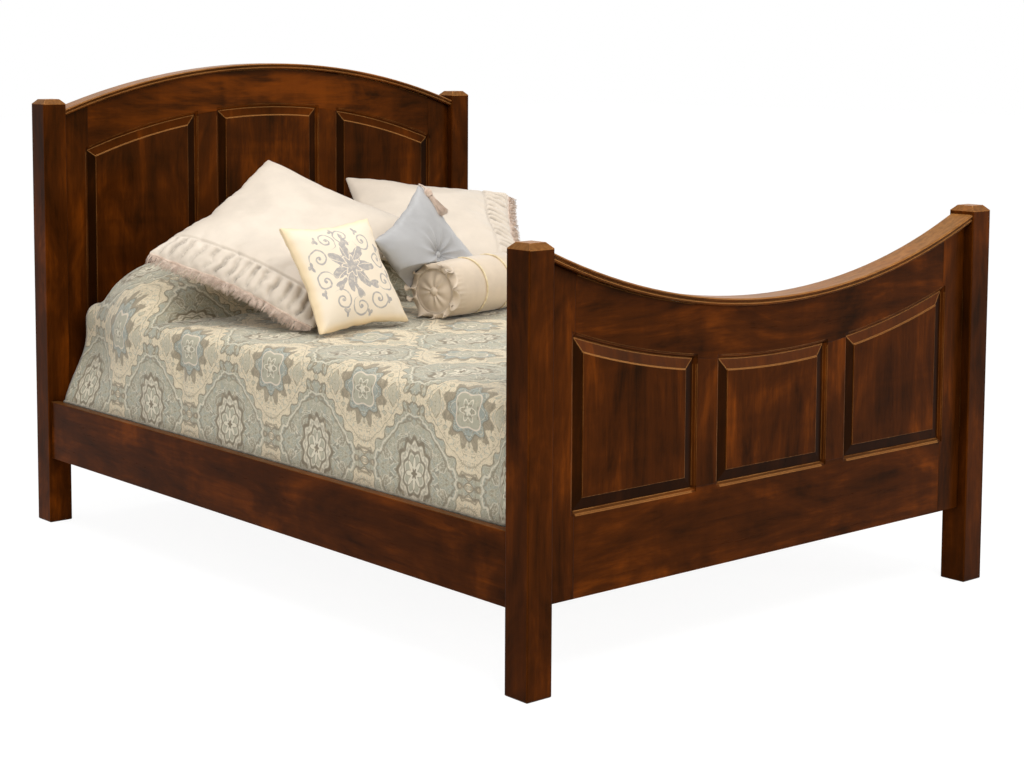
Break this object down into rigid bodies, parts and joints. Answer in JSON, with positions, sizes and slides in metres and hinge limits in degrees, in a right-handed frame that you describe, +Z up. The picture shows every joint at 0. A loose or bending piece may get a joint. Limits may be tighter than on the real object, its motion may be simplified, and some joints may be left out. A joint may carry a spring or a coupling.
{
  "type": "panel bed",
  "caption": "Queen panel bed with arched frame-and-panel headboard and footboard, square posts, side rails on hook brackets, slats, mattress set and dressed bedding.",
  "frame": {"origin": "on the floor at the centre of the bed's outer box", "axes": "+Y runs along the bed from the footboard to the headboard, +Z is up and +X is to the right as seen from the foot"},
  "size_m": [1.64, 2.18, 1.361],
  "materials": {
    "post_wood": "dark walnut stain under semi-gloss lacquer, worn to amber on the edges",
    "rail_wood": "dark walnut stain, grain along the rail, semi-gloss lacquer",
    "stile_wood": "dark walnut stain, upright grain, semi-gloss lacquer",
    "panel_wood": "dark walnut stain, upright figured grain, semi-gloss lacquer",
    "cap_wood": "dark walnut stain with a light sheen on the upper side",
    "side_rail_wood": "dark walnut stain, grain along the rail, semi-gloss lacquer",
    "slat_wood": "planed softwood, unfinished",
    "glide_plastic": "black nylon",
    "bracket_steel": "zinc-plated pressed steel",
    "box_spring_cloth": "woven cover",
    "mattress_ticking": "quilted ticking",
    "comforter_cloth": "printed sateen, cream with sage and taupe medallions",
    "pillow_cloth": "plain cotton",
    "sham_satin": "cream satin with taupe brush fringe",
    "accent_cloth": "ivory cloth with a grey damask print",
    "tufted_satin": "blue-grey satin gathered to a covered button",
    "bolster_satin": "beige satin with piping"
  },
  "bodies": {
    "root": {"head_post_left": "post_wood", "head_post_right": "post_wood", "head_top_rail": "rail_wood", "head_bottom_rail": "rail_wood", "head_stile_left": "stile_wood", "head_stile_right": "stile_wood", "head_mullion_left": "stile_wood", "head_mullion_right": "stile_wood", "head_panel_left": "panel_wood", "head_panel_centre": "panel_wood", "head_panel_right": "panel_wood", "head_cap_moulding": "cap_wood", "foot_post_left": "post_wood", "foot_post_right": "post_wood", "foot_top_rail": "rail_wood", "foot_bottom_rail": "rail_wood", "foot_stile_left": "stile_wood", "foot_stile_right": "stile_wood", "foot_mullion_left": "stile_wood", "foot_mullion_right": "stile_wood", "foot_panel_left": "panel_wood", "foot_panel_centre": "panel_wood", "foot_panel_right": "panel_wood", "foot_cap_moulding": "cap_wood", "side_rail_left": "side_rail_wood", "side_rail_right": "side_rail_wood", "slat_cleat_left": "slat_wood", "slat_cleat_right": "slat_wood", "slat_1": "slat_wood", "slat_2": "slat_wood", "slat_3": "slat_wood", "slat_4": "slat_wood", "slat_5": "slat_wood", "centre_support_beam": "slat_wood", "centre_leg_foot": "slat_wood", "centre_leg_head": "slat_wood", "leg_glides": "glide_plastic", "hook_brackets": "bracket_steel", "slot_plates": "bracket_steel", "box_spring": "box_spring_cloth", "mattress": "mattress_ticking", "comforter": "comforter_cloth", "sleeping_pillow_left": "pillow_cloth", "sleeping_pillow_right": "pillow_cloth", "sham_left": "sham_satin", "sham_right": "sham_satin", "accent_pillow": "accent_cloth", "tufted_pillow": "tufted_satin", "tuft_buttons": "tufted_satin", "bolster": "bolster_satin", "bolster_buttons": "bolster_satin"}
  },
  "joints": []
}
